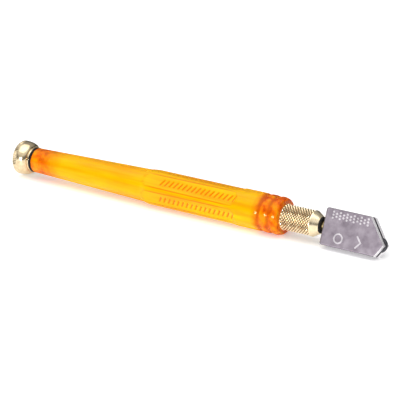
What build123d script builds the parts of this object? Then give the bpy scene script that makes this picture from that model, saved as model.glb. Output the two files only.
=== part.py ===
"""Oil-fed pencil glass cutter, lying on a table with its axis level.

The tool's axis runs along X, with the cutting head at the +X end. Z points up and the table is at Z = 0.
Stations are distances along the axis from the front face of the plastic handle: the collar and the head
have positive stations, the handle and its end cap negative ones. All sizes are in millimetres.
"""

import os
from math import cos, radians, sin

from build123d import *

# Gaps and edge breaks used throughout
press_gap = 0.01
slip_gap = 0.02
fit_gap = 0.05
edge_break = 0.15

# Overall layout along the axis
handle_length = 120.0
cap_length = 7.2
cap_seal_thickness = 1.1
collar_length = 16.2
head_gap = 1.7
head_length = 26.5
wheel_exposure = 0.7
cap_seal_front = -handle_length
cap_front = cap_seal_front - cap_seal_thickness
cap_rear = cap_front - cap_length
head_rear = collar_length + head_gap
overall_length = head_rear + head_length + wheel_exposure - cap_rear
handle_front_x = overall_length / 2 - head_rear - head_length - wheel_exposure

# Handle barrel
tube_rear_d = 10.0
tube_front_d = 13.1
ramp_start = -64.1
ramp_end = -61.3
grip_rear_d = 14.5
bead_d = 14.8
bead_groove_stations = (-8.4, -4.0)
bead_groove_depth = 0.25
bead_groove_width = 2.2
front_edge_radius = 1.4
reservoir_rear_d = 7.1
reservoir_front_d = 8.1
front_bore_d = 8.2
front_bore_depth = 14.0

# Six flats on the grip, each with a row of slanted grooves
flat_count = 6
flat_across = 13.4
flat_front = -17.5
flat_shoulder_radius = 4.0
flat_overrun = 2.0
grip_roll = 43.0
rib_count = 17
rib_pitch = 2.12
rib_rear = -54.0
rib_length = 3.3
rib_width = 0.9
rib_slant = 62.0
rib_depth = 0.3

# End cap
cap_rim_d = 13.8
cap_rim_width = 1.6
cap_rear_d = 12.6
cap_lip_d = 10.3
cap_lip_width = 0.9
cap_lip_edge = 0.2
cap_spigot_length = 9.0
cap_spigot_d = 6.96
cap_seal_d = 10.2
thread_pitch = 1.0
thread_depth = 0.5
thread_crest = (0.4, 0.6)
thread_relief = 0.5

# Knurled collar with its threaded spigot
collar_d = 10.2
collar_knurl_length = 13.1
collar_mouth_d = 6.6
spigot_d = 8.0
spigot_length = 13.2
spigot_thread_start = 0.4
spigot_thread_end = -1.5
spring_chamber_d = 5.4
spring_chamber_front = 3.0
shank_guide_d = 4.1
collar_seal_d = 9.6
collar_seal_thickness = 0.8
shank_seal_d = 6.4
shank_seal_thickness = 0.8

# Shank, its clip, washer and return spring
shank_d = 4.0
shank_in_head = 9.0
socket_end_gap = 0.2
shank_bore_d = 1.6
shank_shoulder = 1.8
shank_bore_stop = 1.0
spindle_d = 2.8
spindle_rear = -4.35
valve_tip_d = 1.2
cross_hole_station = -2.2
cross_hole_d = 1.0
clip_groove_d = 3.0
clip_d = 5.2
clip_thickness = 0.5
clip_mouth = 2.1
washer_thickness = 0.6
spring_wire_d = 0.5
spring_coil_d = 4.3
spring_turns = 5

# Oil valve in the rear of the collar
valve_front = -5.2
valve_body_d = 5.36
valve_groove_rear = -9.8
valve_groove_width = 0.7
valve_groove_d = 4.2
seat_bore_d = 1.8
seat_station = -7.0
ball_d = 2.8
ball_chamber_d = 3.2
cage_thickness = 0.8
cage_d = 4.0
cage_inset = 0.2
cage_hole_d = 1.2
valve_wire_d = 0.25
valve_coil_d = 2.0
valve_turns = 5

# Cutting head: a flat steel block with a slotted, off-centre point
head_height = 14.4
head_thickness = 5.4
head_roll = 23.0
head_top_length = 18.9
head_bottom_length = 23.5
apex_drop = 2.4
head_edge_radius = 0.5
head_corner_radius = 1.0
slot_width = 1.3
slot_depth = 3.0
oil_way_d = 1.6
wick_d = 1.4
wick_end_gap = 0.1
wick_overlap = 0.5
wheel_clearance = 0.3

# Plain raised marks on the near side: a band of pips, a ring and a chevron that points at the wheel
mark_height = 0.15
pip_d = 0.8
pip_band = (11.0, 4.8)
pip_pitch = (3.0, 1.15)
pip_columns = 6
pip_rows = 3
mark_line = 0.55
ring_middle = (7.6, -3.6)
ring_d = 4.0
chevron_tip = (17.2, -3.4)
chevron_arm = 2.8
chevron_slant = 50.0

# Cutting wheel and its axle
wheel_d = 5.6
wheel_thickness = 1.0
wheel_bevel_d = 5.0
axle_d = 1.2
axle_near_length = 1.9

# Height of the axis above the table: the front bead and the lower head edge reach lowest
head_reach = (
    (head_height / 2 - head_edge_radius) * cos(radians(head_roll))
    + (head_thickness / 2 - head_edge_radius) * sin(radians(head_roll))
    + head_edge_radius
)
axis_height = max(bead_d / 2, head_reach)

# Local X of the section plane is the station and local Y is the radius
section_plane = Plane(origin=(handle_front_x, 0, axis_height), x_dir=(1, 0, 0), z_dir=(0, -1, 0))
tool_axis = Axis((handle_front_x, 0, axis_height), (1, 0, 0))

# The head's own plane: local X forward from its rear face, local Y up the block, local Z out of its near side
head_plane = Plane(
    origin=(handle_front_x + head_rear, 0, axis_height),
    x_dir=(1, 0, 0),
    z_dir=(0, -cos(radians(head_roll)), sin(radians(head_roll))),
)


def across(station):
    """Plane square to the axis at a station, facing the head."""
    return Plane(origin=(handle_front_x + station, 0, axis_height), x_dir=(0, 1, 0), z_dir=(1, 0, 0))


def half_section(*points):
    """Face with a closed outline of (station, radius) points, ready to be revolved about the axis."""
    with BuildSketch(section_plane) as face:
        with BuildLine():
            Polyline(*points, close=True)
        make_face()
    return face.sketch


def thread_outline(start, end, major_d):
    """Crests and roots of a thread from start to end, as (station, radius) points."""
    turns = int(abs(end - start) / thread_pitch)
    step = thread_pitch if end > start else -thread_pitch
    points = []
    for turn in range(turns):
        root = start + turn * step
        points.append((root, major_d / 2 - thread_depth))
        for fraction in thread_crest:
            points.append((root + fraction * step, major_d / 2))
    points.append((start + turns * step, major_d / 2 - thread_depth))
    return points


def coil_spring(rear, front, coil_d, wire_d, turns):
    """Helical spring that fills the space between two stations."""
    length = front - rear - wire_d
    with BuildPart() as spring:
        with BuildLine() as path:
            Helix(
                pitch=length / turns,
                height=length,
                radius=coil_d / 2,
                center=(handle_front_x + rear + wire_d / 2, 0, axis_height),
                direction=(1, 0, 0),
            )
        with BuildSketch(Plane(origin=path.line @ 0, z_dir=path.line % 0)):
            Circle(wire_d / 2)
        sweep(path=path.line, is_frenet=True)
    return spring


# Handle barrel: a conical tube that steps up to a grip with six flats and two beads at its front
bead_r = bead_d / 2
with BuildPart() as handle_barrel:
    with BuildSketch(section_plane):
        with BuildLine():
            Polyline(
                (-handle_length, reservoir_rear_d / 2),
                (-handle_length, tube_rear_d / 2),
                (ramp_start, tube_front_d / 2),
                (ramp_end, grip_rear_d / 2),
                (bead_groove_stations[0] - bead_groove_width, bead_r),
                (-front_edge_radius, bead_r),
            )
            RadiusArc(
                (-front_edge_radius, bead_r),
                (0, bead_r - front_edge_radius),
                front_edge_radius,
            )
            Polyline(
                (0, bead_r - front_edge_radius),
                (0, collar_seal_d / 2 + fit_gap),
                (-collar_seal_thickness, collar_seal_d / 2 + fit_gap),
                (-collar_seal_thickness, front_bore_d / 2),
                (-front_bore_depth, front_bore_d / 2),
                (-front_bore_depth, reservoir_front_d / 2),
                (-handle_length, reservoir_rear_d / 2),
            )
        make_face()
    revolve(axis=tool_axis)
    # Shallow round grooves that leave the beads
    groove_ring_r = bead_groove_width**2 / (8 * bead_groove_depth) + bead_groove_depth / 2
    with BuildSketch(section_plane):
        for station in bead_groove_stations:
            with Locations((station, bead_r + groove_ring_r - bead_groove_depth)):
                Circle(groove_ring_r)
    revolve(axis=tool_axis, mode=Mode.SUBTRACT)
    # Flats, each rising to the full diameter over a curved shoulder at its front
    for index in range(flat_count):
        turn = radians(grip_roll + 360 / flat_count * index)
        flat_plane = Plane(
            origin=(handle_front_x, 0, axis_height),
            x_dir=(1, 0, 0),
            z_dir=(0, -sin(turn), -cos(turn)),
        )
        with BuildSketch(flat_plane):
            with BuildLine():
                Polyline(
                    (flat_front - flat_shoulder_radius, flat_across / 2),
                    (ramp_start - flat_overrun, flat_across / 2),
                    (ramp_start - flat_overrun, bead_d),
                    (flat_front, bead_d),
                    (flat_front, flat_across / 2 + flat_shoulder_radius),
                )
                RadiusArc(
                    (flat_front, flat_across / 2 + flat_shoulder_radius),
                    (flat_front - flat_shoulder_radius, flat_across / 2),
                    flat_shoulder_radius,
                )
            make_face()
        extrude(amount=bead_d / 2, both=True, mode=Mode.SUBTRACT)
    # Slanted grooves on every flat
    for index in range(flat_count):
        turn = radians(grip_roll + 360 / flat_count * index)
        normal = Vector(0, -cos(turn), sin(turn))
        rib_middle = rib_rear + rib_pitch * (rib_count - 1) / 2
        rib_plane = Plane(
            origin=Vector(handle_front_x + rib_middle, 0, axis_height) + normal * (flat_across / 2),
            x_dir=(1, 0, 0),
            z_dir=normal,
        )
        with BuildSketch(rib_plane):
            with GridLocations(rib_pitch, 1, rib_count, 1):
                SlotOverall(rib_length, rib_width, rotation=rib_slant)
        extrude(amount=-rib_depth, mode=Mode.SUBTRACT)
handle_barrel.part.label = "handle_barrel"

# End cap: a bell with a rim round its rear face and a threaded spigot that closes the reservoir
rim_front = cap_rear + cap_rim_width + (cap_rim_d - cap_rear_d) / 2
lip_rear = cap_front - cap_lip_width
bell_corner_r = cap_lip_d / 2 - cap_lip_edge
with BuildPart() as end_cap:
    with BuildSketch(section_plane):
        with BuildLine():
            Polyline(
                (cap_rear, 0),
                (cap_rear, cap_rear_d / 2),
                (cap_rear + (cap_rim_d - cap_rear_d) / 2, cap_rim_d / 2),
                (rim_front, cap_rim_d / 2),
            )
            EllipticalCenterArc(
                (rim_front, bell_corner_r),
                lip_rear - rim_front,
                cap_rim_d / 2 - bell_corner_r,
                arc_size=90,
            )
            Polyline(
                (lip_rear, bell_corner_r),
                (lip_rear + cap_lip_edge, cap_lip_d / 2),
                (cap_front, cap_lip_d / 2),
                (cap_front, cap_spigot_d / 2 - thread_depth),
                *thread_outline(cap_seal_front + thread_relief, cap_front + cap_spigot_length, cap_spigot_d),
                (cap_front + cap_spigot_length, cap_spigot_d / 2 - thread_depth),
                (cap_front + cap_spigot_length, 0),
                (cap_rear, 0),
            )
        make_face()
    revolve(axis=tool_axis)
end_cap.part.label = "end_cap"

# Rubber washer between the cap and the barrel
with BuildPart() as end_cap_seal:
    revolve(
        half_section(
            (cap_front, cap_spigot_d / 2 + fit_gap),
            (cap_front, cap_seal_d / 2 - edge_break),
            (cap_front + edge_break, cap_seal_d / 2),
            (cap_seal_front - edge_break, cap_seal_d / 2),
            (cap_seal_front, cap_seal_d / 2 - edge_break),
            (cap_seal_front, cap_spigot_d / 2 + fit_gap),
        ),
        axis=tool_axis,
    )
end_cap_seal.part.label = "end_cap_seal"

# Collar: grip band, cone to the mouth, threaded spigot, guide bore in front and spring chamber behind
with BuildPart() as knurled_collar:
    revolve(
        half_section(
            (-spigot_length, spring_chamber_d / 2),
            (-spigot_length, spigot_d / 2 - thread_depth),
            *thread_outline(-spigot_length + spigot_thread_start, spigot_thread_end, spigot_d),
            (0, spigot_d / 2 - thread_depth),
            (0, collar_d / 2),
            (collar_knurl_length, collar_d / 2),
            (collar_knurl_length + 2 * edge_break, collar_d / 2 - edge_break),
            (collar_length, collar_mouth_d / 2),
            (collar_length, shank_guide_d / 2),
            (spring_chamber_front, shank_guide_d / 2),
            (spring_chamber_front, spring_chamber_d / 2),
        ),
        axis=tool_axis,
    )
knurled_collar.part.label = "knurled_collar"

# Flat rubber washer in the barrel's front counterbore, under the collar
with BuildPart() as collar_seal:
    revolve(
        half_section(
            (-collar_seal_thickness, spigot_d / 2 - thread_depth + fit_gap),
            (-collar_seal_thickness, collar_seal_d / 2),
            (0, collar_seal_d / 2),
            (0, spigot_d / 2 - thread_depth + fit_gap),
        ),
        axis=tool_axis,
    )
collar_seal.part.label = "collar_seal"

# Flat rubber washer round the shank, against the collar's mouth
shank_seal_front = collar_length + shank_seal_thickness
with BuildPart() as shank_seal:
    revolve(
        half_section(
            (collar_length, shank_guide_d / 2),
            (collar_length, shank_seal_d / 2),
            (shank_seal_front - edge_break, shank_seal_d / 2),
            (shank_seal_front, shank_seal_d / 2 - edge_break),
            (shank_seal_front, shank_guide_d / 2),
        ),
        axis=tool_axis,
    )
shank_seal.part.label = "shank_seal"

# Shank: hollow brass tube with a clip groove, a spindle through the spring and a tip that lifts the ball
seat_cone_apex = seat_station + seat_bore_d / 2
ball_station = seat_cone_apex - ball_d / 2 / sin(radians(45))
tip_end = ball_station + ball_d / 2 + slip_gap
shank_front = head_rear + shank_in_head
clip_front = spring_chamber_front - fit_gap
clip_rear = clip_front - clip_thickness
with BuildPart() as head_shank:
    revolve(
        half_section(
            (tip_end, 0),
            (tip_end, valve_tip_d / 2),
            (spindle_rear, valve_tip_d / 2),
            (spindle_rear, spindle_d / 2),
            (shank_shoulder, spindle_d / 2),
            (shank_shoulder, shank_d / 2),
            (clip_rear - slip_gap, shank_d / 2),
            (clip_rear - slip_gap, clip_groove_d / 2),
            (clip_front + slip_gap, clip_groove_d / 2),
            (clip_front + slip_gap, shank_d / 2),
            (shank_front, shank_d / 2),
            (shank_front, shank_bore_d / 2),
            (spindle_rear + shank_bore_stop, shank_bore_d / 2),
            (spindle_rear + shank_bore_stop, 0),
        ),
        axis=tool_axis,
    )
    with BuildSketch(Plane(origin=(handle_front_x + cross_hole_station, 0, axis_height), z_dir=(0, 0, 1))):
        Circle(cross_hole_d / 2)
    extrude(amount=spindle_d, both=True, mode=Mode.SUBTRACT)
head_shank.part.label = "head_shank"

# Open clip in the shank's groove, which stops the shank at the front of the spring chamber
with BuildPart() as shank_clip:
    with BuildSketch(across(clip_rear)):
        Circle(clip_d / 2)
        Circle(clip_groove_d / 2 + slip_gap, mode=Mode.SUBTRACT)
        with Locations((0, -clip_d / 2)):
            Rectangle(clip_mouth, clip_d, mode=Mode.SUBTRACT)
    extrude(amount=clip_thickness)
shank_clip.part.label = "shank_clip"

# Washer between the turning shank and the spring, which only slides
with BuildPart() as thrust_washer:
    with BuildSketch(across(shank_shoulder - washer_thickness)):
        Circle(clip_d / 2)
        Circle(spindle_d / 2 + fit_gap, mode=Mode.SUBTRACT)
    extrude(amount=washer_thickness)
thrust_washer.part.label = "thrust_washer"

# Spring that pushes the head forward
return_spring = coil_spring(
    valve_front, shank_shoulder - washer_thickness, spring_coil_d, spring_wire_d, spring_turns
)
return_spring.part.label = "return_spring"

# Valve body: a plug in the spring chamber with a conical seat that faces the reservoir
seat_rear = seat_cone_apex - ball_chamber_d / 2
cage_front = -spigot_length + cage_thickness + cage_inset
with BuildPart() as valve_body:
    revolve(
        half_section(
            (-spigot_length, cage_d / 2 + slip_gap),
            (-spigot_length, valve_body_d / 2),
            (valve_groove_rear, valve_body_d / 2),
            (valve_groove_rear, valve_groove_d / 2),
            (valve_groove_rear + valve_groove_width, valve_groove_d / 2),
            (valve_groove_rear + valve_groove_width, valve_body_d / 2),
            (valve_front, valve_body_d / 2),
            (valve_front, seat_bore_d / 2),
            (seat_station, seat_bore_d / 2),
            (seat_rear, ball_chamber_d / 2),
            (cage_front, ball_chamber_d / 2),
            (cage_front, cage_d / 2 + slip_gap),
        ),
        axis=tool_axis,
    )
valve_body.part.label = "valve_body"

# Rubber ring in the valve body's groove, which keeps oil from passing round it
valve_seal_section = (valve_body_d - valve_groove_d) / 2 - press_gap
with BuildPart() as valve_seal:
    with BuildSketch(section_plane):
        with Locations(
            (valve_groove_rear + valve_groove_width / 2, (valve_body_d + valve_groove_d) / 4)
        ):
            Circle(valve_seal_section / 2)
    revolve(axis=tool_axis)
valve_seal.part.label = "valve_seal"

# Ball that closes the seat until the shank's tip lifts it
with BuildPart() as valve_ball:
    with BuildSketch(section_plane):
        with BuildLine():
            ThreePointArc(
                (ball_station - ball_d / 2, 0),
                (ball_station, ball_d / 2),
                (ball_station + ball_d / 2, 0),
            )
            Line((ball_station + ball_d / 2, 0), (ball_station - ball_d / 2, 0))
        make_face()
    revolve(axis=tool_axis)
valve_ball.part.label = "valve_ball"

# Light spring behind the ball
spring_on_ball = (ball_d**2 - valve_coil_d**2) ** 0.5 / 2
valve_spring = coil_spring(
    cage_front, ball_station - spring_on_ball - valve_wire_d / 2, valve_coil_d, valve_wire_d, valve_turns
)
valve_spring.part.label = "valve_spring"

# Cage: perforated disc that holds the valve spring in and lets oil through
with BuildPart() as valve_cage:
    with BuildSketch(across(cage_front - cage_thickness)):
        Circle(cage_d / 2)
        Circle(cage_hole_d / 2, mode=Mode.SUBTRACT)
    extrude(amount=cage_thickness)
valve_cage.part.label = "valve_cage"

# Head outline in its own plane, and the middle of the wheel on the line that halves the point
head_outline = (
    (0, -head_height / 2),
    (head_bottom_length, -head_height / 2),
    (head_length, -apex_drop),
    (head_top_length, head_height / 2),
    (0, head_height / 2),
)
wheel_setback = wheel_d / 2 - wheel_exposure
wheel_middle = (head_length - wheel_setback, -apex_drop)
slot_circle_r = wheel_d / 2 + wheel_clearance

# Head body
with BuildPart() as head_body:
    with BuildSketch(head_plane):
        with BuildLine():
            Polyline(*head_outline, close=True)
        make_face()
    extrude(amount=head_thickness / 2, both=True)
    # Rear corners, then the long edges and the rear edges
    rear_corners = head_body.edges().filter_by(Axis(head_plane.origin, head_plane.z_dir)).sort_by(Axis.X)[:2]
    fillet(rear_corners, head_corner_radius)
    side_faces = head_body.faces().filter_by(Axis(head_plane.origin, head_plane.z_dir))
    soft_edges = [
        edge
        for face in side_faces
        for edge in face.edges()
        if edge.center().X < handle_front_x + head_rear + head_top_length - slot_depth
    ]
    fillet(soft_edges, head_edge_radius)
    # Slot that follows both end faces and widens round the wheel
    with BuildSketch(head_plane):
        with BuildLine():
            Polyline(
                (head_bottom_length - slot_depth, -head_height),
                (head_bottom_length - slot_depth, -head_height / 2),
                (head_length - slot_depth, -apex_drop),
                (head_top_length - slot_depth, head_height / 2),
                (head_top_length - slot_depth, head_height),
                (2 * head_length, head_height),
                (2 * head_length, -head_height),
                close=True,
            )
        make_face()
        with Locations(wheel_middle):
            Circle(slot_circle_r)
    extrude(amount=slot_width / 2, both=True, mode=Mode.SUBTRACT)
    # Socket for the shank and the oil way from it to the wheel
    with BuildSketch(across(head_rear)):
        Circle(shank_d / 2 + press_gap)
    extrude(amount=shank_in_head + socket_end_gap, mode=Mode.SUBTRACT)
    with BuildSketch(across(head_rear + shank_in_head)):
        Circle(oil_way_d / 2)
    extrude(amount=head_length - shank_in_head - wheel_setback, mode=Mode.SUBTRACT)
    # Axle hole from the far side, blind in the near half
    with BuildSketch(head_plane.offset(-head_thickness / 2)):
        with Locations(wheel_middle):
            Circle(axle_d / 2 + press_gap)
    extrude(amount=head_thickness / 2 + axle_near_length + fit_gap, mode=Mode.SUBTRACT)
    # Raised marks, the pips staggered
    with BuildSketch(head_plane.offset(head_thickness / 2)):
        with Locations(pip_band):
            with GridLocations(*pip_pitch, pip_columns, pip_rows):
                Circle(pip_d / 2)
            with GridLocations(*pip_pitch, pip_columns - 1, pip_rows - 1):
                Circle(pip_d / 2)
        with Locations(ring_middle):
            Circle(ring_d / 2)
            Circle(ring_d / 2 - mark_line, mode=Mode.SUBTRACT)
        arm_back = chevron_arm / 2 * cos(radians(chevron_slant))
        arm_rise = chevron_arm / 2 * sin(radians(chevron_slant))
        for side in (1, -1):
            with Locations((chevron_tip[0] - arm_back, chevron_tip[1] + side * arm_rise)):
                SlotOverall(chevron_arm + mark_line, mark_line, rotation=-side * chevron_slant)
    extrude(amount=mark_height)
head_body.part.label = "head_body"

# Cotton wick through the shank and the head, up to the wheel
wick_rear = spindle_rear + shank_bore_stop + wick_end_gap
wick_front = head_rear + head_length - wheel_setback - slot_circle_r + wick_overlap
with BuildPart() as wick:
    with BuildSketch(across(wick_rear)):
        Circle(wick_d / 2)
    extrude(amount=wick_front - wick_rear)
wick.part.label = "wick"

# Carbide wheel with a ground V edge, turned about its axle
wheel_plane = Plane(
    origin=head_plane.from_local_coords(Vector(*wheel_middle, 0)),
    x_dir=head_plane.x_dir,
    z_dir=head_plane.y_dir * -1,
)
wheel_axis = Axis(wheel_plane.origin, head_plane.z_dir)
with BuildPart() as cutting_wheel:
    with BuildSketch(wheel_plane):
        with BuildLine():
            Polyline(
                (axle_d / 2 + fit_gap, -wheel_thickness / 2),
                (wheel_bevel_d / 2, -wheel_thickness / 2),
                (wheel_d / 2, 0),
                (wheel_bevel_d / 2, wheel_thickness / 2),
                (axle_d / 2 + fit_gap, wheel_thickness / 2),
                close=True,
            )
        make_face()
    revolve(axis=wheel_axis)
cutting_wheel.part.label = "cutting_wheel"

# Axle pin, flush with the far side of the head
with BuildPart() as wheel_axle:
    with BuildSketch(head_plane.offset(-head_thickness / 2)):
        with Locations(wheel_middle):
            Circle(axle_d / 2)
    extrude(amount=head_thickness / 2 + axle_near_length)
wheel_axle.part.label = "wheel_axle"

os.makedirs("parts", exist_ok=True)
pieces = (
    handle_barrel,
    end_cap,
    end_cap_seal,
    knurled_collar,
    collar_seal,
    shank_seal,
    head_shank,
    shank_clip,
    thrust_washer,
    return_spring,
    valve_body,
    valve_seal,
    valve_ball,
    valve_spring,
    valve_cage,
    head_body,
    wick,
    cutting_wheel,
    wheel_axle,
)
for piece in pieces:
    export_step(piece.part, f"parts/{piece.part.label}.step")
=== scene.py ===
"""Looks of the oil-fed glass cutter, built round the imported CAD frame.

Stations are distances along the tool's axis from the handle's front face, positive towards the cutting head.
Sizes are in millimetres until a mesh or a material is made. Those are in metres.
"""

from math import cos, pi, radians, sin, sqrt, tan

import bpy
import numpy as np
from mathutils import Matrix, Vector


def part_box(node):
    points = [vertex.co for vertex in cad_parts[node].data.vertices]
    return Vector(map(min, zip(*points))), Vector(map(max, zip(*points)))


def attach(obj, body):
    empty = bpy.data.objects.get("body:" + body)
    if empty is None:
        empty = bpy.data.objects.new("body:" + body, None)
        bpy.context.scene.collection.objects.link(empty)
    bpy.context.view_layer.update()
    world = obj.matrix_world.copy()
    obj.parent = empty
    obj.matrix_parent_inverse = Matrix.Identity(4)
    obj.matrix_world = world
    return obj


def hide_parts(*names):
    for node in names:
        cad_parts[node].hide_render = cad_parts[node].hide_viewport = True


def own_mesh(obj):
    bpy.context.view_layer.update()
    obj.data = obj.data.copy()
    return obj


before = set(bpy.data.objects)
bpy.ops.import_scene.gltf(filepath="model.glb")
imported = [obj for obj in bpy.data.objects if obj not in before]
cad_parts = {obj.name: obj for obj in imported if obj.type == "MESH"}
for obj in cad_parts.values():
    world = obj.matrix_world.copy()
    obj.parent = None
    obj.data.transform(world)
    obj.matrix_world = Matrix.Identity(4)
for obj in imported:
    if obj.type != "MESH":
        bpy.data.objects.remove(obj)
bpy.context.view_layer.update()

MM = 0.001


def node_box(node):
    """Lowest and highest corners of a CAD node, in millimetres."""
    low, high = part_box(node)
    return Vector(low) / MM, Vector(high) / MM


# ---------------------------------------------------------------- places, read from the frame
barrel_low, barrel_high = node_box("handle_barrel")
collar_low, collar_high = node_box("knurled_collar")
cap_low, cap_high = node_box("end_cap")
head_low, head_high = node_box("head_body")
seal_low, _ = node_box("end_cap_seal")
FRONT_X = barrel_high.x
AXIS_Z = (barrel_low.z + barrel_high.z) / 2
HANDLE_LENGTH = barrel_high.x - barrel_low.x
CAP_FRONT = seal_low.x - FRONT_X
CAP_REAR = cap_low.x - FRONT_X
CAP_SPIGOT_FRONT = cap_high.x - FRONT_X
COLLAR_REAR = collar_low.x - FRONT_X
COLLAR_FRONT = collar_high.x - FRONT_X
HEAD_ROLL = radians(23)
HEAD_HALF = 2.7
BEAD_R = (barrel_high.z - barrel_low.z) / 2
COLLAR_R = (collar_high.z - collar_low.z) / 2
CAP_RIM_R = (cap_high.z - cap_low.z) / 2


# ---------------------------------------------------------------- camera, floor and light
CAMERA_AZIMUTH, CAMERA_ELEVATION = radians(34.5), radians(19.5)
CAMERA_DISTANCE, CAMERA_ASIDE, CAMERA_ABOVE = 835.2, -32.6, 6.4
CAMERA_LENS, CAMERA_SENSOR, CAMERA_CLIP_START = 198, 36, 0.01


def make_camera():
    """Long lens, looking down on the tool from its head end."""
    azimuth, elevation = CAMERA_AZIMUTH, CAMERA_ELEVATION
    back = Vector((sin(azimuth) * cos(elevation), -cos(azimuth) * cos(elevation), sin(elevation)))
    right = Vector((cos(azimuth), sin(azimuth), 0))
    up = back.cross(right)
    # The handle's front end sits right of the picture's middle and a little below it
    place = Vector((FRONT_X, 0, AXIS_Z)) + back * CAMERA_DISTANCE + right * CAMERA_ASIDE + up * CAMERA_ABOVE
    data = bpy.data.cameras.new("camera")
    data.lens = CAMERA_LENS
    data.sensor_width = CAMERA_SENSOR
    data.clip_start = CAMERA_CLIP_START
    camera = bpy.data.objects.new("camera", data)
    bpy.context.scene.collection.objects.link(camera)
    camera.matrix_world = Matrix.Translation(place * MM) @ Matrix((right, up, back)).transposed().to_4x4()
    bpy.context.scene.camera = camera


def area_light(name, place, target, size, power):
    """Round white softbox at a place, facing a target, in metres and watts."""
    data = bpy.data.lights.new(name, "AREA")
    data.shape = "DISK"
    data.size = size
    data.energy = power
    light = bpy.data.objects.new(name, data)
    bpy.context.scene.collection.objects.link(light)
    light.location = place
    light.rotation_euler = (Vector(target) - Vector(place)).to_track_quat("-Z", "Y").to_euler()


# Grey level of the room by the height of a direction, from level to straight up
ROOM_STOPS = ((0.0, 0.2), (0.3, 0.18), (0.55, 0.8), (1.0, 0.85))
ROOM_BLUE = 1.01
# Strength of the room in front and at the back, and where it changes between them
ROOM_FRONT, ROOM_BACK = 1.2, 0.5
ROOM_DIM_START, ROOM_DIM_END = 0.1, 0.5


def make_studio():
    """Grey room, dark at camera height and dimmer at the back, with softboxes above and low in front."""
    world = bpy.data.worlds.new("studio")
    bpy.context.scene.world = world
    world.use_nodes = True
    tree = world.node_tree
    coords = tree.nodes.new("ShaderNodeTexCoord")
    split = tree.nodes.new("ShaderNodeSeparateXYZ")
    ramp = tree.nodes.new("ShaderNodeValToRGB")
    while len(ramp.color_ramp.elements) < len(ROOM_STOPS):
        ramp.color_ramp.elements.new(0.5)
    for element, (height, level) in zip(ramp.color_ramp.elements, ROOM_STOPS):
        element.position = height
        element.color = (level, level, level * ROOM_BLUE, 1)
    tree.links.new(coords.outputs["Generated"], split.inputs[0])
    tree.links.new(split.outputs["Z"], ramp.inputs["Fac"])
    tree.links.new(ramp.outputs["Color"], tree.nodes["Background"].inputs["Color"])
    dim = map_value(tree, split.outputs["Y"], ROOM_FRONT, ROOM_BACK, ROOM_DIM_START, ROOM_DIM_END)
    tree.links.new(dim, tree.nodes["Background"].inputs["Strength"])
    area_light("top_softbox", (-0.1, -0.12, 0.9), (0, 0, 0), 1.3, 4.5)
    area_light("front_softbox", (-0.1, -0.95, 0.12), (0, 0, 0.01), 0.23, 6.5)


FLOOR_HALF = 3
FLOOR_GLOW = 0.3


def make_floor():
    """Plain pale floor with a weak glow, which keeps the shadow light."""
    half = FLOOR_HALF
    corners = [(-half, -half, 0), (half, -half, 0), (half, half, 0), (-half, half, 0)]
    mesh = bpy.data.meshes.new("floor")
    mesh.from_pydata(corners, [], [(0, 1, 2, 3)])
    floor = bpy.data.objects.new("floor", mesh)
    bpy.context.scene.collection.objects.link(floor)
    material, shader, tree = new_material("floor")
    noise = add_noise(tree, 9, detail=3)
    tint = colour_ramp(tree, noise, (0.3, (0.93, 0.93, 0.93)), (0.7, (0.95, 0.95, 0.95)))
    tree.links.new(tint, shader.inputs["Base Color"])
    shader.inputs["Roughness"].default_value = 0.65
    shader.inputs["Specular IOR Level"].default_value = 0.2
    shader.inputs["Emission Color"].default_value = (1, 1, 1, 1)
    shader.inputs["Emission Strength"].default_value = FLOOR_GLOW
    mesh.materials.append(material)


# ---------------------------------------------------------------- material helpers
def new_material(name):
    """Empty node material, with its shader and its node tree."""
    material = bpy.data.materials.new(name)
    material.use_nodes = True
    tree = material.node_tree
    return material, tree.nodes["Principled BSDF"], tree


def add_noise(tree, scale, detail=4, rough=0.5, stretch=(1, 1, 1)):
    """Noise over the object's own space, stretched along an axis for brushed or turned surfaces."""
    coords = tree.nodes.new("ShaderNodeTexCoord")
    mapping = tree.nodes.new("ShaderNodeMapping")
    mapping.inputs["Scale"].default_value = stretch
    noise = tree.nodes.new("ShaderNodeTexNoise")
    noise.inputs["Scale"].default_value = scale
    noise.inputs["Detail"].default_value = detail
    noise.inputs["Roughness"].default_value = rough
    tree.links.new(coords.outputs["Object"], mapping.inputs["Vector"])
    tree.links.new(mapping.outputs["Vector"], noise.inputs["Vector"])
    return noise.outputs["Fac"]


def add_math(tree, operation, *values):
    """Math node fed by numbers and sockets."""
    node = tree.nodes.new("ShaderNodeMath")
    node.operation = operation
    for socket, value in zip(node.inputs, values):
        if isinstance(value, (int, float)):
            socket.default_value = value
        else:
            tree.links.new(value, socket)
    return node.outputs[0]


def colour_ramp(tree, factor, *stops):
    """Colour that follows a factor through (position, colour) stops."""
    ramp = tree.nodes.new("ShaderNodeValToRGB")
    while len(ramp.color_ramp.elements) < len(stops):
        ramp.color_ramp.elements.new(0.5)
    for element, (position, colour) in zip(ramp.color_ramp.elements, stops):
        element.position = position
        element.color = (*colour, 1)
    tree.links.new(factor, ramp.inputs["Fac"])
    return ramp.outputs["Color"]


def mix_colours(tree, factor, first, second):
    """Mix of two colours or sockets by a factor."""
    node = tree.nodes.new("ShaderNodeMix")
    node.data_type = "RGBA"
    for name, value in (("Factor_Float", factor), ("A_Color", first), ("B_Color", second)):
        socket = next(item for item in node.inputs if item.identifier == name)
        if isinstance(value, (int, float)):
            socket.default_value = value
        elif isinstance(value, tuple):
            socket.default_value = (*value, 1)
        else:
            tree.links.new(value, socket)
    return next(item for item in node.outputs if item.identifier == "Result_Color")


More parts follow.
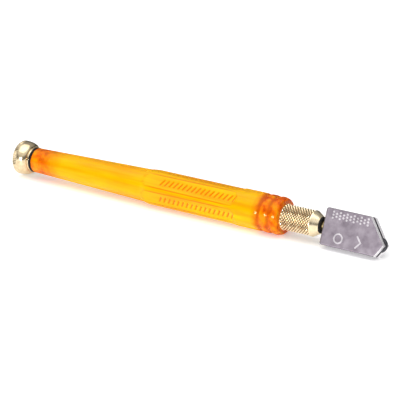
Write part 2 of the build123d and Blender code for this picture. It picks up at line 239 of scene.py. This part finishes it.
def map_value(tree, factor, low, high, start=0.3, end=0.7):
    """Number between low and high that follows a factor from start to end."""
    node = tree.nodes.new("ShaderNodeMapRange")
    node.inputs["From Min"].default_value = start
    node.inputs["From Max"].default_value = end
    node.inputs["To Min"].default_value = low
    node.inputs["To Max"].default_value = high
    tree.links.new(factor, node.inputs["Value"])
    return node.outputs["Result"]


def mesh_value(tree, name):
    """Value of a point attribute."""
    node = tree.nodes.new("ShaderNodeAttribute")
    node.attribute_name = name
    return node.outputs["Fac"]


def add_bump(tree, shader, height, strength, distance):
    """Bumps of a height in metres on the shader's normal."""
    bump = tree.nodes.new("ShaderNodeBump")
    bump.inputs["Strength"].default_value = strength
    bump.inputs["Distance"].default_value = distance
    tree.links.new(height, bump.inputs["Height"])
    tree.links.new(bump.outputs["Normal"], shader.inputs["Normal"])


def distance_along(tree, direction, origin):
    """Distance of a surface point from a plane, in metres, in the object's own space."""
    coords = tree.nodes.new("ShaderNodeTexCoord")
    dot = tree.nodes.new("ShaderNodeVectorMath")
    dot.operation = "DOT_PRODUCT"
    dot.inputs[1].default_value = direction
    tree.links.new(coords.outputs["Object"], dot.inputs[0])
    return add_math(tree, "SUBTRACT", dot.outputs["Value"], Vector(direction).dot(Vector(origin)))


def axis_distance(tree):
    """Distance of a surface point from the tool's axis, in metres."""
    coords = tree.nodes.new("ShaderNodeTexCoord")
    split = tree.nodes.new("ShaderNodeSeparateXYZ")
    tree.links.new(coords.outputs["Object"], split.inputs[0])
    rise = add_math(tree, "SUBTRACT", split.outputs["Z"], AXIS_Z * MM)
    across = add_math(tree, "MULTIPLY", split.outputs["Y"], split.outputs["Y"])
    return add_math(tree, "SQRT", add_math(tree, "MULTIPLY_ADD", rise, rise, across))


# ---------------------------------------------------------------- materials
AMBER_BODY = ((0.38, (1.0, 0.4, 0.0)), (0.5, (1.0, 0.54, 0.0)), (0.64, (1.0, 0.66, 0.0)))
AMBER_SPIGOT_SHADE = ((0.38, (0.68, 0.09, 0.0)), (0.5, (1.0, 0.21, 0.0)), (0.64, (1.0, 0.38, 0.0)))
AMBER_GROOVE_SHADE, AMBER_EDGE_SHADE = (0.76, 0.19, 0.0), (0.64, 0.12, 0.0)
EDGE_SHADE_STRENGTH = 0.9
# Where the painted shade round the brass spigots starts and ends, ahead of the inner ends of the collar's and
# the cap's spigots: a deeper orange that stands in for the spigots blocking the light behind the amber
FRONT_TINT_START, FRONT_TINT_END = 1.5, 4.8
REAR_TINT, REAR_TINT_START, REAR_TINT_END = 0.9, -2, 8


def amber_plastic():
    """Amber plastic with soft clouds and streaks, and painted shade: deeper orange along the flats' edges, in
    the grooves and round the brass spigots, which block the light behind it.
    """
    material, shader, tree = new_material("amber_plastic")
    cloud = add_noise(tree, 150, detail=4, stretch=(0.25, 1, 1))
    streak = add_noise(tree, 520, detail=3, stretch=(0.05, 1, 1))
    depth = add_math(tree, "MULTIPLY_ADD", streak, 0.5, add_math(tree, "MULTIPLY", cloud, 0.5))
    body = colour_ramp(tree, depth, *AMBER_BODY)
    # Painted shade: deeper orange round the brass spigots, where they block the light from behind the amber
    end_cloud = add_noise(tree, 330, detail=3)
    spigot_shade = colour_ramp(tree, end_cloud, *AMBER_SPIGOT_SHADE)
    station = distance_along(tree, (1, 0, 0), (FRONT_X * MM, 0, 0))
    front_start = (COLLAR_REAR + FRONT_TINT_START) * MM
    front_end = (COLLAR_REAR + FRONT_TINT_END) * MM
    rear_start = (CAP_SPIGOT_FRONT + REAR_TINT_START) * MM
    rear_end = (CAP_SPIGOT_FRONT + REAR_TINT_END) * MM
    front = map_value(tree, station, 0, 1, front_start, front_end)
    rear = map_value(tree, station, REAR_TINT, 0, rear_start, rear_end)
    ends = mix_colours(tree, add_math(tree, "MAXIMUM", front, rear), body, spigot_shade)
    # Painted shade: deeper orange at the bottom of the slanted grooves
    groove_shaded = mix_colours(tree, mesh_value(tree, "groove"), ends, AMBER_GROOVE_SHADE)
    # Painted shade: deeper orange along the edges of the grip flats and in the bead grooves
    edge = add_math(tree, "MULTIPLY", mesh_value(tree, "edge"), EDGE_SHADE_STRENGTH)
    tree.links.new(mix_colours(tree, edge, groove_shaded, AMBER_EDGE_SHADE), shader.inputs["Base Color"])
    fine = add_noise(tree, 900, detail=3)
    # Rougher where it is seen edge on, so that the outline stays free of glare
    layer = tree.nodes.new("ShaderNodeLayerWeight")
    grazing = map_value(tree, layer.outputs["Facing"], 0, 0.85, 0.6, 0.8)
    rough = add_math(tree, "ADD", map_value(tree, fine, 0.09, 0.14), grazing)
    tree.links.new(rough, shader.inputs["Roughness"])
    add_bump(tree, shader, fine, 0.04, 0.00005)
    shader.inputs["Transmission Weight"].default_value = 0.45
    shader.inputs["IOR"].default_value = 1.32
    shader.inputs["Specular IOR Level"].default_value = 0.3
    shader.inputs["Specular Tint"].default_value = (1.0, 0.75, 0.4, 1)
    return material


GRAIN_BUMP = 0.1
GRAIN_HEIGHT = 0.00003


def metal(name, dark, light, rough, scale=400, stretch=(1, 1, 1)):
    """Plated or turned metal with a fine grain."""
    material, shader, tree = new_material(name)
    grain = add_noise(tree, scale, detail=5, stretch=stretch)
    tree.links.new(colour_ramp(tree, grain, (0.3, dark), (0.7, light)), shader.inputs["Base Color"])
    tree.links.new(map_value(tree, grain, *rough), shader.inputs["Roughness"])
    add_bump(tree, shader, grain, GRAIN_BUMP, GRAIN_HEIGHT)
    shader.inputs["Metallic"].default_value = 1
    return material


# Painted shade and highlight of the knurl, from its dark valleys to its crests, brighter than the plain brass
KNURL_SHADE_AND_HIGHLIGHT = ((0.0, (0.08, 0.04, 0.015)), (0.3, (0.45, 0.3, 0.14)), (0.5, (1.0, 0.85, 0.58)))


def knurled_brass():
    """Brass with painted shade in the knurl's valleys and a painted highlight on its crests, plain in front
    of it.
    """
    material, shader, tree = new_material("collar_brass")
    grain = add_noise(tree, 900, detail=4)
    height = map_value(tree, axis_distance(tree), 0, 1, (COLLAR_R - KNURL_DEPTH) * MM, COLLAR_R * MM)
    # Painted shade in the knurl's valleys and painted highlight on its crests, by distance from the axis
    knurl_painted_light = colour_ramp(tree, height, *KNURL_SHADE_AND_HIGHLIGHT)
    plain = colour_ramp(tree, grain, (0.3, (0.8, 0.66, 0.42)), (0.7, (0.9, 0.78, 0.55)))
    station = distance_along(tree, (1, 0, 0), ((FRONT_X + KNURL_END) * MM, 0, 0))
    blend = 0.1 * MM
    beyond = map_value(tree, station, 0, 1, -blend, blend)
    tree.links.new(mix_colours(tree, beyond, knurl_painted_light, plain), shader.inputs["Base Color"])
    tree.links.new(map_value(tree, grain, 0.16, 0.28), shader.inputs["Roughness"])
    add_bump(tree, shader, grain, GRAIN_BUMP, GRAIN_HEIGHT)
    shader.inputs["Metallic"].default_value = 1
    return material


# Heights above the plate over which the painted highlight on the raised marks comes in, and its strength
MARK_LOW, MARK_HIGH = 0.04, 0.12
MARK_HIGHLIGHT = 0.45


def head_steel():
    """Satin plated steel with mottled sides, ground end faces painted near-white and less metallic as a
    painted highlight on their ground finish, and a painted highlight on the tops of the raised marks.
    """
    material, shader, tree = new_material("head_steel")
    mottle = add_noise(tree, 350, detail=5, rough=0.6)
    side = colour_ramp(tree, mottle, (0.3, (0.19, 0.16, 0.19)), (0.7, (0.26, 0.23, 0.26)))
    normal = (0, -cos(HEAD_ROLL), sin(HEAD_ROLL))
    lift = distance_along(tree, normal, ((head_low.x + head_high.x) / 2 * MM, 0, AXIS_Z * MM))
    mark_start, mark_end = (HEAD_HALF + MARK_LOW) * MM, (HEAD_HALF + MARK_HIGH) * MM
    # Painted highlight on the tops of the raised marks
    raised = map_value(tree, lift, 0, MARK_HIGHLIGHT, mark_start, mark_end)
    # Painted highlight: faces turned forward, the ground end faces among them, are painted near-white and
    # made less metallic
    coords = tree.nodes.new("ShaderNodeTexCoord")
    split = tree.nodes.new("ShaderNodeSeparateXYZ")
    tree.links.new(coords.outputs["Normal"], split.inputs[0])
    ahead = map_value(tree, split.outputs["X"], 0, 1, 0.6, 0.7)
    # Both painted highlights together, the forward faces' and the raised marks'
    bright = add_math(tree, "MAXIMUM", raised, ahead)
    tree.links.new(mix_colours(tree, bright, side, (0.93, 0.9, 0.92)), shader.inputs["Base Color"])
    rough = map_value(tree, mottle, 0.34, 0.46)
    tree.links.new(add_math(tree, "MULTIPLY_ADD", bright, -0.1, rough), shader.inputs["Roughness"])
    tree.links.new(map_value(tree, ahead, 1, 0.35, 0, 1), shader.inputs["Metallic"])
    add_bump(tree, shader, mottle, 0.15, 0.00004)
    return material


def black_rubber():
    """Black rubber with a faint dull grain."""
    material, shader, tree = new_material("black_rubber")
    grain = add_noise(tree, 1500, detail=4)
    colour = colour_ramp(tree, grain, (0.3, (0.003, 0.0025, 0.0025)), (0.7, (0.009, 0.008, 0.008)))
    tree.links.new(colour, shader.inputs["Base Color"])
    tree.links.new(map_value(tree, grain, 0.45, 0.65), shader.inputs["Roughness"])
    add_bump(tree, shader, grain, 0.25, 0.00004)
    shader.inputs["Specular IOR Level"].default_value = 0.15
    return material


def cotton():
    """Undyed cotton with fibres along the wick."""
    material, shader, tree = new_material("cotton")
    fibre = add_noise(tree, 2500, detail=5, stretch=(0.2, 1, 1))
    colour = colour_ramp(tree, fibre, (0.3, (0.62, 0.56, 0.42)), (0.7, (0.85, 0.8, 0.68)))
    tree.links.new(colour, shader.inputs["Base Color"])
    tree.links.new(map_value(tree, fibre, 0.8, 0.95), shader.inputs["Roughness"])
    add_bump(tree, shader, fibre, 0.6, 0.0001)
    return material


# ---------------------------------------------------------------- mesh helpers
ARC_STEPS = 5
SHORTEST_STEP = 1e-6
SHARP_ANGLE = radians(40)


def rounded_outline(corners, step):
    """Closed outline from (station, radius, corner radius) points.
    Corners are rounded, and straights are cut into pieces of step(point) at most."""
    points = []
    count = len(corners)
    for index, (x, y, radius) in enumerate(corners):
        here = Vector((x, y))
        if radius == 0:
            points.append(here)
            continue
        before = Vector(corners[index - 1][:2])
        after = Vector(corners[(index + 1) % count][:2])
        arriving = (before - here).normalized()
        leaving = (after - here).normalized()
        half = arriving.angle(leaving) / 2
        setback = radius / tan(half)
        middle = here + (arriving + leaving).normalized() * (radius / sin(half))
        start = here + arriving * setback - middle
        end = here + leaving * setback - middle
        for k in range(ARC_STEPS + 1):
            mixed = start.lerp(end, k / ARC_STEPS).normalized() * radius
            if k in (0, ARC_STEPS):
                mixed = start if k == 0 else end
            points.append(middle + mixed)
    dense = []
    for index, point in enumerate(points):
        following = points[(index + 1) % len(points)]
        length = (following - point).length
        gone = 0.0
        while gone < length:
            here = point.lerp(following, gone / length)
            dense.append(here)
            gone += min(step(here), max(length - gone, SHORTEST_STEP))
    return dense


def lathe(name, outline, segments, relief=None):
    """Closed skin turned about the tool's axis, from an outline whose outer side runs forward.
    relief(station, radius, angles) gives radii that vary round it."""
    angles = np.arange(segments) * (2 * pi / segments)
    rows = []
    for point in outline:
        radii = np.full(segments, point.y)
        if relief is not None:
            radii = relief(point.x, point.y, angles)
        xs = np.full(segments, FRONT_X + point.x)
        rows.append(np.stack([xs, -np.cos(angles) * radii, AXIS_Z + np.sin(angles) * radii], axis=1))
    vertices = np.concatenate(rows) * MM
    row_count = len(rows)
    faces = []
    for row in range(row_count):
        this, following = row * segments, ((row + 1) % row_count) * segments
        for k in range(segments):
            right = (k + 1) % segments
            faces.append((this + k, following + k, following + right, this + right))
    mesh = bpy.data.meshes.new(name)
    mesh.from_pydata(vertices.tolist(), [], faces)
    mesh.validate()
    mesh.shade_smooth()
    mesh.set_sharp_from_angle(angle=SHARP_ANGLE)
    obj = bpy.data.objects.new(name, mesh)
    bpy.context.scene.collection.objects.link(obj)
    return obj


def stand_for(piece, node, body, material):
    """Shows a piece in place of a CAD node, on its body, with a material."""
    piece.data.materials.append(material)
    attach(piece, body)
    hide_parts(node)


# ---------------------------------------------------------------- handle barrel
TUBE_REAR_R, TUBE_FRONT_R = 5.0, 6.55
RAMP_START, RAMP_END = -64.1, -61.3
GRIP_REAR_R = 7.25
GRIP_WIDEST = -12
FRONT_EDGE_RADIUS = 1.0
BORE_REAR_R, BORE_FRONT_R = 3.55, 4.05
FRONT_BORE_R, FRONT_BORE_DEPTH = 4.1, 14.0
COUNTERBORE_R, COUNTERBORE_DEPTH = 4.85, 0.8
BEAD_GROOVES = (-8.4, -4.0)
BEAD_GROOVE_DEPTH, BEAD_GROOVE_WIDTH = 0.27, 3.6
# A last groove across the front edge, which rounds the front bead
FRONT_ROUNDING = -0.5
FRONT_FACE_START, FRONT_FACE_DEPTH = -2, 1.5
FLAT_COUNT, FLAT_R, FLAT_FRONT, FLAT_SHOULDER = 6, 6.7, -17.5, 4.0
GRIP_ROLL = radians(43)
RIB_COUNT, RIB_PITCH, RIB_REAR = 17, 2.12, -54.0
RIB_LENGTH, RIB_WIDTH, RIB_SLANT, RIB_DEPTH = 3.3, 0.9, radians(62), 0.3
RIDGE_SOFTNESS = 0.12
# Depth over which the painted shade along the flats' edges fades. It starts weaker at the ramp and grows
# forward
EDGE_DEPTH = 0.14
EDGE_FADE_START, EDGE_FADE_LENGTH = 0.4, 5
BARREL_SEGMENTS = 300
# Steps between rows in the bore, over the slanted grooves, over the beads and elsewhere
BORE_STEP, RIB_STEP, BEAD_STEP, PLAIN_STEP = 4.0, 0.28, 0.32, 1.0
RIB_MARGIN = 2


def smooth_min(a, b, softness):
    """Smaller of two values, rounded where they cross."""
    blend = np.clip(0.5 + 0.5 * (b - a) / softness, 0, 1)
    return b + (a - b) * blend - softness * blend * (1 - blend)


def flat_height(station):
    """Distance of a grip flat from the axis: level, then up a round shoulder at the front."""
    level_end = FLAT_FRONT - FLAT_SHOULDER
    if station < level_end:
        return FLAT_R
    # Stops just short of the shoulder's vertical end
    climb = min(station - level_end, FLAT_SHOULDER * 0.999)
    return FLAT_R + FLAT_SHOULDER - sqrt(FLAT_SHOULDER**2 - climb**2)


def angle_from_flat(angles):
    """Angle from the middle of the nearest grip flat."""
    sector = 2 * pi / FLAT_COUNT
    return (angles - GRIP_ROLL + sector / 2) % sector - sector / 2


def bead_groove(station, groove):
    """1 at the bottom of a round groove, falling to 0 at its sides."""
    off = min(abs(station - groove) / (BEAD_GROOVE_WIDTH / 2), 1)
    return 0.5 + 0.5 * cos(pi * off)


def barrel_relief(station, radius, angles, grooves=True):
    """Grip flats, slanted grooves and bead grooves on the barrel's outside."""
    radii = np.full(len(angles), radius)
    in_bore = radius < TUBE_REAR_R
    on_front_face = radius < BEAD_R - FRONT_FACE_DEPTH and station > FRONT_FACE_START
    if in_bore or on_front_face:
        return radii
    for groove in (*BEAD_GROOVES, FRONT_ROUNDING):
        radii -= BEAD_GROOVE_DEPTH * bead_groove(station, groove)
    if not RAMP_START < station < FLAT_FRONT:
        return radii
    aside = angle_from_flat(angles)
    flats = flat_height(station) / np.cos(aside)
    radii = smooth_min(radii, flats, RIDGE_SOFTNESS)
    across = radii * np.sin(aside)
    for k in range(RIB_COUNT if grooves else 0):
        along = station - (RIB_REAR + k * RIB_PITCH)
        if abs(along) > RIB_LENGTH:
            continue
        lengthwise = along * cos(RIB_SLANT) + across * sin(RIB_SLANT)
        sideways = -along * sin(RIB_SLANT) + across * cos(RIB_SLANT)
        beyond = np.maximum(np.abs(lengthwise) - (RIB_LENGTH - RIB_WIDTH) / 2, 0)
        edge = np.clip(1 - np.hypot(beyond, sideways) / (RIB_WIDTH / 2), 0, 1)
        radii -= RIB_DEPTH * np.sin(edge * pi / 2)
    return radii


def flat_edges(station, radius, angles):
    """Mask of painted shade: 1 along the edges of the grip flats and towards the bottom of the bead grooves,
    0 away from them.
    """
    if radius < TUBE_REAR_R or station > FLAT_FRONT:
        beads = sum(bead_groove(station, groove) for groove in BEAD_GROOVES)
        return np.full(len(angles), beads**2)
    if station < RAMP_START:
        return np.zeros(len(angles))
    aside = angle_from_flat(angles)
    gap = np.abs(flat_height(station) / np.cos(aside) - radius)
    front_fade = (FLAT_FRONT - station) / (2 * FLAT_SHOULDER)
    rear_fade = EDGE_FADE_START + max(station - RAMP_END, 0) / EDGE_FADE_LENGTH
    return np.clip(1 - gap / EDGE_DEPTH, 0, 1) * min(front_fade, rear_fade, 1)


def add_attribute(mesh, name, values):
    """One number for each point of a mesh."""
    attribute = mesh.attributes.new(name, "FLOAT", "POINT")
    attribute.data.foreach_set("value", values)


def mark_barrel(barrel, outline, segments):
    """Point attributes that mask painted shade: groove is the slanted grooves' depth from 0 to 1, edge comes
    from flat_edges().
    """
    angles = np.arange(segments) * (2 * pi / segments)
    depths = []
    edges = []
    for point in outline:
        plain = barrel_relief(point.x, point.y, angles, grooves=False)
        depths.append(plain - barrel_relief(point.x, point.y, angles))
        edges.append(flat_edges(point.x, point.y, angles))
    add_attribute(barrel.data, "groove", np.clip(np.concatenate(depths) / RIB_DEPTH, 0, 1))
    add_attribute(barrel.data, "edge", np.concatenate(edges))


def barrel_step(point):
    """Fine rows where the slanted grooves and beads are, coarse ones in the bore."""
    if point.y < TUBE_REAR_R - 0.1:
        return BORE_STEP
    ribs_end = RIB_REAR + RIB_PITCH * (RIB_COUNT - 1)
    if RIB_REAR - RIB_MARGIN < point.x < ribs_end + RIB_MARGIN:
        return RIB_STEP
    return BEAD_STEP if point.x > FLAT_FRONT - FLAT_SHOULDER - 1 else PLAIN_STEP


def make_barrel():
    """Amber handle with its bore, on the handle body."""
    corners = [
        (-HANDLE_LENGTH, TUBE_REAR_R, 0.3),
        (RAMP_START, TUBE_FRONT_R, 0.8),
        (RAMP_END, GRIP_REAR_R, 0.6),
        (GRIP_WIDEST, BEAD_R, 0),
        (0, BEAD_R, FRONT_EDGE_RADIUS),
        (0, COUNTERBORE_R, 0.1),
        (-COUNTERBORE_DEPTH, COUNTERBORE_R, 0),
        (-COUNTERBORE_DEPTH, FRONT_BORE_R, 0.1),
        (-FRONT_BORE_DEPTH, FRONT_BORE_R, 0),
        (-FRONT_BORE_DEPTH, BORE_FRONT_R, 0),
        (-HANDLE_LENGTH, BORE_REAR_R, 0.2),
    ]
    outline = rounded_outline(corners, barrel_step)
    barrel = lathe("amber_handle", outline, BARREL_SEGMENTS, barrel_relief)
    mark_barrel(barrel, outline, BARREL_SEGMENTS)
    stand_for(barrel, "handle_barrel", "handle", amber_plastic())


# ---------------------------------------------------------------- brass end cap
CAP_REAR_R, CAP_RIM_WIDTH, CAP_LIP_R, CAP_LIP_WIDTH = 6.3, 1.6, 5.15, 0.9
CAP_SPIGOT_R, THREAD_DEPTH, THREAD_PITCH = 3.48, 0.5, 1.0
MILLING_COUNT, MILLING_DEPTH = 60, 0.14
MILLING_REAR, MILLING_FRONT = 0.3, 0.7
CAP_CHAMFER, CAP_RIM_EXTRA = 0.6, 0.6
BELL_STEPS = 14
CAP_STEP = 0.6
THREAD_CREST = (0.4, 0.6)
# Radius left round the axis where a lathed piece is solid
AXIS_HOLE_R = 0.02


def thread_corners(start, end, radius):
    """Crests and roots of a thread between two stations."""
    corners = []
    turns = int(abs(end - start) / THREAD_PITCH)
    step = THREAD_PITCH if end > start else -THREAD_PITCH
    for turn in range(turns):
        root = start + turn * step
        corners.append((root, radius - THREAD_DEPTH, 0))
        for crest in THREAD_CREST:
            corners.append((root + crest * step, radius, 0))
    return corners


def cap_relief(station, radius, angles):
    """Fine straight milling round the rim, fading out on to the bell."""
    radii = np.full(len(angles), radius)
    rim_start = CAP_REAR + MILLING_REAR
    rim_end = CAP_REAR + CAP_RIM_WIDTH + MILLING_FRONT
    if rim_start < station < rim_end and radius > CAP_REAR_R + 0.1:
        wave = np.abs((angles * MILLING_COUNT / (2 * pi)) % 1 - 0.5) * 2
        radii -= MILLING_DEPTH * wave
    return radii


def make_cap():
    """Brass screw cap: a milled rim, a bell down to a lip, and the threaded spigot."""
    lip_rear = CAP_FRONT - CAP_LIP_WIDTH
    rim_front = CAP_REAR + CAP_RIM_WIDTH + CAP_RIM_EXTRA
    bell_corner_r = CAP_LIP_R - 0.2
    bell = []
    for k in range(1, BELL_STEPS + 1):
        turn = pi / 2 * k / BELL_STEPS
        station = rim_front + (lip_rear - rim_front) * sin(turn)
        bell.append((station, bell_corner_r + (CAP_RIM_R - bell_corner_r) * cos(turn), 0))
    corners = [
        (CAP_REAR, AXIS_HOLE_R, 0),
        (CAP_REAR, CAP_REAR_R, 0.2),
        (CAP_REAR + CAP_CHAMFER, CAP_RIM_R, 0.2),
        (rim_front, CAP_RIM_R, 0),
        *bell,
        (lip_rear + 0.2, CAP_LIP_R, 0.1),
        (CAP_FRONT, CAP_LIP_R, 0.1),
        (CAP_FRONT, CAP_SPIGOT_R - THREAD_DEPTH, 0),
        *thread_corners(CAP_FRONT + 1.6, CAP_SPIGOT_FRONT, CAP_SPIGOT_R),
        (CAP_SPIGOT_FRONT, CAP_SPIGOT_R - THREAD_DEPTH, 0),
        (CAP_SPIGOT_FRONT, AXIS_HOLE_R, 0),
    ]
    outline = rounded_outline(corners, lambda point: CAP_STEP)
    cap = lathe("brass_cap", outline, MILLING_COUNT * 6, cap_relief)
    brass = metal("cap_brass", (0.64, 0.5, 0.3), (0.82, 0.68, 0.45), (0.1, 0.18), scale=700)
    stand_for(cap, "end_cap", "cap", brass)


# ---------------------------------------------------------------- knurled collar
KNURL_END, KNURL_COUNT, KNURL_PITCH, KNURL_DEPTH = 13.1, 22, 1.17, 0.4
COLLAR_MOUTH_R, GUIDE_R, CHAMBER_R, CHAMBER_FRONT, SPIGOT_R = 3.3, 2.05, 2.7, 3.0, 4.0
KNURL_STEP, COLLAR_STEP = 0.1, 0.8
KNURL_SEGMENTS = 14


def collar_relief(station, radius, angles):
    """Diamond knurl: pyramids between two sets of crossing grooves."""
    radii = np.full(len(angles), radius)
    if radius < COLLAR_R - 0.01 or station < 0.3 or station > KNURL_END - 0.1:
        return radii
    around = angles * KNURL_COUNT / (2 * pi)
    along = station / KNURL_PITCH
    first = np.abs((around + along) % 1 - 0.5) * 2
    second = np.abs((around - along) % 1 - 0.5) * 2
    return radii - KNURL_DEPTH * np.maximum(first, second)


def collar_step(point):
    """Fine rows on the knurl, coarse ones elsewhere."""
    return KNURL_STEP if 0 < point.x < KNURL_END and point.y > SPIGOT_R else COLLAR_STEP


def make_collar():
    """Knurled brass collar with its cone, bore and threaded spigot, on the handle body."""
    corners = [
        (COLLAR_REAR, CHAMBER_R, 0),
        (COLLAR_REAR, SPIGOT_R - THREAD_DEPTH, 0),
        *thread_corners(COLLAR_REAR + 0.4, -1.5, SPIGOT_R),
        (-1.2, SPIGOT_R - THREAD_DEPTH, 0),
        (0, SPIGOT_R - THREAD_DEPTH, 0),
        (0, COLLAR_R, 0.15),
        (KNURL_END, COLLAR_R, 0),
        (KNURL_END + 0.3, COLLAR_R - 0.15, 0.15),
        (COLLAR_FRONT, COLLAR_MOUTH_R, 0.2),
        (COLLAR_FRONT, GUIDE_R, 0.05),
        (CHAMBER_FRONT, GUIDE_R, 0),
        (CHAMBER_FRONT, CHAMBER_R, 0),
    ]
    outline = rounded_outline(corners, collar_step)
    collar = lathe("brass_collar", outline, KNURL_COUNT * KNURL_SEGMENTS, collar_relief)
    stand_for(collar, "knurled_collar", "handle", knurled_brass())


# ---------------------------------------------------------------- coil springs
WIRE_SIDES, TURN_STEPS = 10, 28
SPRING_TURNS = 5
HEAD_WIRE_D, BALL_WIRE_D = 0.5, 0.25


def make_spring(name, node, wire_d, material):
    """Coil spring in place of a CAD one."""
    low, high = node_box(node)
    coil_r = (high.z - low.z - wire_d) / 2
    rear, front = low.x + wire_d / 2, high.x - wire_d / 2
    steps = SPRING_TURNS * TURN_STEPS
    climb = (front - rear) / (2 * pi * coil_r * SPRING_TURNS)
    vertices = []
    for k in range(steps + 1):
        angle = 2 * pi * k / TURN_STEPS
        outward = Vector((0, -cos(angle), sin(angle)))
        ahead = Vector((climb, sin(angle), cos(angle))).normalized()
        across = ahead.cross(outward)
        middle = Vector((rear + (front - rear) * k / steps, 0, AXIS_Z)) + outward * coil_r
        for side in range(WIRE_SIDES):
            turn = 2 * pi * side / WIRE_SIDES
            vertices.append((middle + (outward * cos(turn) + across * sin(turn)) * (wire_d / 2)) * MM)
    rear_end = tuple(reversed(range(WIRE_SIDES)))
    front_end = tuple(steps * WIRE_SIDES + side for side in range(WIRE_SIDES))
    faces = [rear_end, front_end]
    for k in range(steps):
        this, following = k * WIRE_SIDES, (k + 1) * WIRE_SIDES
        for side in range(WIRE_SIDES):
            beside = (side + 1) % WIRE_SIDES
            faces.append((this + side, this + beside, following + beside, following + side))
    mesh = bpy.data.meshes.new(name)
    mesh.from_pydata(vertices, [], faces)
    mesh.shade_smooth()
    spring = bpy.data.objects.new(name, mesh)
    bpy.context.scene.collection.objects.link(spring)
    stand_for(spring, node, "handle", material)
    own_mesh(spring)


# ---------------------------------------------------------------- CAD nodes that keep their own shape
def finish_node(node, material):
    """Gives a CAD node its material."""
    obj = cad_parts[node]
    obj.data.materials.clear()
    obj.data.materials.append(material)


def finish_cad_nodes():
    """Materials of the CAD nodes, and the springs that share the steel wire's."""
    rubber = black_rubber()
    for node in ("end_cap_seal", "collar_seal", "shank_seal", "valve_seal"):
        finish_node(node, rubber)
    turned = metal("turned_brass", (0.66, 0.47, 0.2), (0.8, 0.62, 0.32), (0.2, 0.35), stretch=(8, 1, 1))
    for node in ("head_shank", "thrust_washer", "valve_body", "valve_cage"):
        finish_node(node, turned)
    wire = metal("spring_steel", (0.45, 0.45, 0.47), (0.62, 0.62, 0.64), (0.2, 0.3))
    for node in ("shank_clip", "valve_ball", "wheel_axle"):
        finish_node(node, wire)
    make_spring("head_spring", "return_spring", HEAD_WIRE_D, wire)
    make_spring("ball_spring", "valve_spring", BALL_WIRE_D, wire)
    finish_node("head_body", head_steel())
    carbide = metal("carbide", (0.05, 0.05, 0.055), (0.1, 0.1, 0.11), (0.25, 0.4))
    finish_node("cutting_wheel", carbide)
    finish_node("wick", cotton())


bpy.context.scene.view_settings.view_transform = "Standard"
make_camera()
make_studio()
make_floor()
make_barrel()
make_cap()
make_collar()
finish_cad_nodes()
